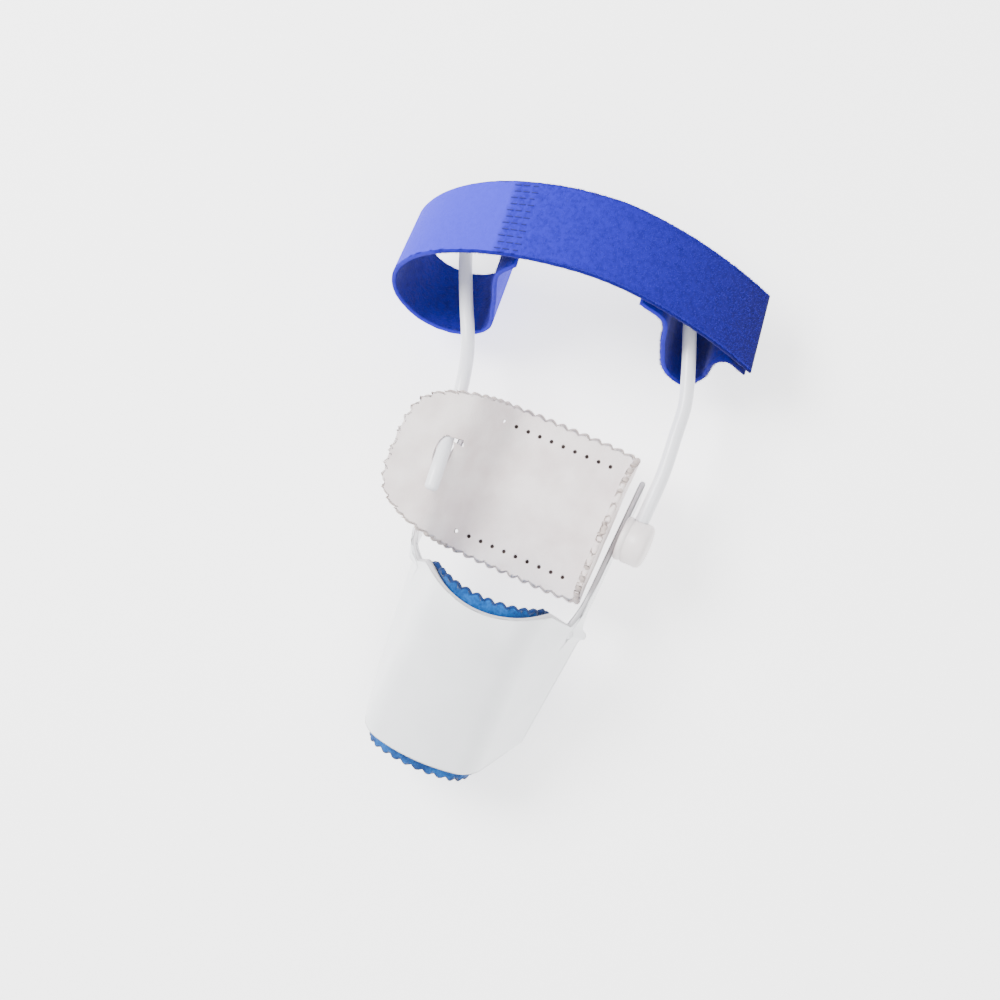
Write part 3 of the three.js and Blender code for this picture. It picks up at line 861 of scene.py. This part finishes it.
def knob_mesh(side):
    """A turned knob: a bevelled foot, a shallow groove, a straight grip and a domed face."""
    r, h = KNOB_RADIUS, KNOB_LENGTH
    # radius and height
    profile = [
        (0, 0), (r - 0.7, 0), (r - 0.25, 0.15), (r, 0.6), (r, 1.5), (r - 0.3, 1.7), (r - 0.3, 2.0),
        (r, 2.2), (r, h - 1.9), (r - 0.1, h - 1.3), (r - 0.45, h - 0.8), (r - 1.1, h - 0.42),
        (r - 2.2, h - 0.16), (r * 0.35, h), (0, h),
    ]  # fmt: skip
    points, faces = [], []
    for radius, height in profile:
        for s in range(KNOB_SIDES):
            turn = 2 * math.pi * s / KNOB_SIDES
            x = ARM_X + side * (KNOB_OVER_ARM + height)
            points.append((x, KNOB_Y + radius * math.cos(turn), KNOB_Z + radius * math.sin(turn) * side))
    for k in range(len(profile) - 1):
        for s in range(KNOB_SIDES):
            n = (s + 1) % KNOB_SIDES
            a, b = k * KNOB_SIDES, (k + 1) * KNOB_SIDES
            faces.append((a + s, a + n, b + n, b + s))
    return points, faces


mesh_object("knob_left", *knob_mesh(-1), "left_knob", "knob_plastic", [knob_plastic])
knob = mesh_object("knob_right", *knob_mesh(1), "right_knob", "knob_plastic", [knob_plastic])
SOCKET_DEEPER = 1  # than the rod's end
rod_x, rod_y, rod_z = RIGHT_ROD[0]
socket = [(rod_x, rod_y - SOCKET_DEEPER, rod_z), *RIGHT_ROD[1:4]]
bore = bar_mesh(socket, ROD_RADIUS + ROD_GAP, sides=SOCKET_SIDES, steps=60, round_ends=False)
cut_with(knob, [bore])

BAND_ROWS = 44
STRAP_STEPS = 420
strap_place, strap_length = band_place(STRAP_LINE, STRAP_STEPS)
tape_sides = [strap_outer, strap_inner_shaded, strap_edge_shade]
strap = sheet_piece(
    "strap", "instep_strap", "strap_tape", tape_sides, STRAP_STEPS, BAND_ROWS, STRAP_WALL, strap_place
)
LOOP_STEPS = 200
loop_place, loop_length = band_place(LOOP_LINE, LOOP_STEPS)
loop = sheet_piece(
    "loop", "right_loop", "strap_tape", [strap_inner_shaded, strap_inner_shaded, strap_edge_shade],
    LOOP_STEPS, BAND_ROWS, STRAP_WALL, loop_place,
)  # fmt: skip


V_STEP = 0.02


def surface(place, steps, u, v, lift):
    """A point over a band's outer face (or its inner one, for a negative lift), and the way out."""
    step = 2 / steps
    u = min(max(u, step), 1 - step)
    v = min(max(v, V_STEP), 1 - V_STEP)
    along = np.subtract(place(u + step, v), place(u - step, v))
    across = np.subtract(place(u, v + V_STEP), place(u, v - V_STEP))
    out = np.cross(along, across)
    out /= np.linalg.norm(out)
    return np.array(place(u, v)) + out * lift, out


# The seam's threads: shares of the strap's length, but for the radius and the lift
SEAM_ROWS = 11
SEAM_BORDER = 0.07  # of the strap's width
STITCHES_PER_ROW = 3
STITCH_START = 0.003
STITCH_PITCH = 0.0125
STITCH_SHIFT = 0.002  # of every other row
STITCH_LENGTH = 0.009
THREAD_RADIUS = 0.17
THREAD_LIFT = 0.04


def stitches():
    """Rows of short threads where the strap's end is sewn down, in one mesh."""
    points, faces = [], []
    lift = STRAP_WALL / 2 + THREAD_LIFT
    for k in range(SEAM_ROWS):
        v = SEAM_BORDER + (1 - 2 * SEAM_BORDER) * k / (SEAM_ROWS - 1)
        for n in range(STITCHES_PER_ROW):
            start = STRAP_SEAM + STITCH_START + n * STITCH_PITCH + STITCH_SHIFT * (k % 2)
            shares = (start, start + STITCH_LENGTH / 2, start + STITCH_LENGTH)
            ends = [surface(strap_place, STRAP_STEPS, share, v, lift)[0] for share in shares]
            more_points, more_faces = bar_mesh(ends, THREAD_RADIUS, sides=8, steps=10)
            base = len(points)
            points += more_points
            faces += [tuple(base + f for f in face) for face in more_faces]
    return points, faces


seam = mesh_object("stitches", *stitches(), None, "strap_tape", [thread_dark])

draws = np.random.default_rng(7)
FIBRE_RADIUS = 0.06
FIBRE_LENGTHS = (0.3, 0.8)
FIBRE_LEAN = 0.7
FACE_SHARE = 0.6  # of the fibres stand on the face, and the others at its edges
EDGE_PLACES = (0.01, 0.99)
PILE_SEAT = 0.9  # of half the wall, so that each fibre's foot is in it


def pile(name, place, steps, count, low, high, side, material):
    """Short bent fibres standing on a band's face, thickest at its edges, in one mesh."""
    points, faces = [], []
    for _ in range(count):
        u = draws.uniform(low, high)
        v = draws.uniform(0, 1) if draws.uniform() < FACE_SHARE else draws.choice(EDGE_PLACES)
        at, out = surface(place, steps, u, v, side * STRAP_WALL / 2 * PILE_SEAT)
        lean = draws.normal(size=3)
        tip = out * side + lean * FIBRE_LEAN
        tip = at + tip / np.linalg.norm(tip) * draws.uniform(*FIBRE_LENGTHS)
        # three points round the foot; the small shift keeps them apart on an upright fibre
        flat = np.cross(tip - at, out + 0.01)
        flat = flat / (np.linalg.norm(flat) + TINY) * FIBRE_RADIUS
        other = np.cross(tip - at, flat)
        other = other / (np.linalg.norm(other) + TINY) * FIBRE_RADIUS
        base = len(points)
        back = at - flat * 0.5
        points += [tuple(at + flat), tuple(back + other), tuple(back - other), tuple(tip)]
        faces += [(base, base + 1, base + 3), (base + 1, base + 2, base + 3), (base + 2, base, base + 3)]
    return mesh_object(name, points, faces, None, "strap_tape", [material])


fibre_light = Nodes("fibre_light", srgb(42, 34, 184), 0.9).material
# The inner faces' fibres are a darker copy of the outer ones: painted shade inside the strap's curl.
fibre_shaded = Nodes("fibre_shaded", srgb(20, 12, 136), 0.9).material
STRAP_FIBRES = 9000  # on each face
LOOP_FIBRES = 3500
past_seam = STRAP_SEAM + 0.04
pile_out = pile("pile_outer", strap_place, STRAP_STEPS, STRAP_FIBRES, past_seam, 0.995, 1, fibre_light)
pile_in = pile("pile_inner", strap_place, STRAP_STEPS, STRAP_FIBRES, 0.005, 0.995, -1, fibre_shaded)
pile_loop = pile("pile_loop", loop_place, LOOP_STEPS, LOOP_FIBRES, 0.01, 0.99, -1, fibre_shaded)

# Stage: a plain pale floor, soft light from the upper left and the photo's viewing angle

bpy.ops.mesh.primitive_plane_add(size=6, location=(0, 0, 0))
floor = bpy.context.object
floor.name = "floor"
floor_glow = {"Emission_Color": (1, 1, 1, 1), "Emission_Strength": 1.6}
floor_look = Nodes("floor", (0.95, 0.95, 0.95), 0.9, **floor_glow)
floor.data.materials.append(floor_look.material)

world = bpy.data.worlds.new("world")
world.use_nodes = True
world.node_tree.nodes["Background"].inputs["Color"].default_value = (1, 1, 1, 1)
world.node_tree.nodes["Background"].inputs["Strength"].default_value = 1.25
bpy.context.scene.world = world


def lamp(name, place, size, watts):
    """A round soft lamp that faces the object."""
    data = bpy.data.lights.new(name, "AREA")
    data.shape = "DISK"
    data.size = size
    data.energy = watts
    obj = bpy.data.objects.new(name, data)
    obj.location = place
    obj.rotation_euler = (-Vector(place)).to_track_quat("-Z", "Y").to_euler()
    bpy.context.collection.objects.link(obj)


lamp("key", (-0.55, 0.15, 0.75), 0.5, 16)
lamp("fill", (0.5, -0.3, 0.9), 0.8, 6)

CAMERA_DISTANCE = 420
CAMERA_AZIMUTH = math.radians(9)
CAMERA_ROLL = math.radians(23.5)
CAMERA_TARGET = (-9, -3.5, 0)
CAMERA_LENS = 60.48
CAMERA_SENSOR = 36
CAMERA_CLIP = (0.01, 20)

toward = Vector((math.sin(CAMERA_AZIMUTH), 0, math.cos(CAMERA_AZIMUTH)))
level = Vector((math.cos(CAMERA_AZIMUTH), 0, -math.sin(CAMERA_AZIMUTH)))
up = Vector((0, 1, 0))
camera_x = math.cos(CAMERA_ROLL) * level + math.sin(CAMERA_ROLL) * up
camera_y = -math.sin(CAMERA_ROLL) * level + math.cos(CAMERA_ROLL) * up
camera = bpy.data.objects.new("camera", bpy.data.cameras.new("camera"))
bpy.context.collection.objects.link(camera)
camera.data.sensor_width = CAMERA_SENSOR
camera.data.lens = CAMERA_LENS
turn = Matrix((camera_x, camera_y, toward)).transposed().to_4x4()
camera.matrix_world = Matrix.Translation(row(CAMERA_TARGET) + toward * CAMERA_DISTANCE / METRE) @ turn
camera.data.clip_start, camera.data.clip_end = CAMERA_CLIP
bpy.context.scene.camera = camera
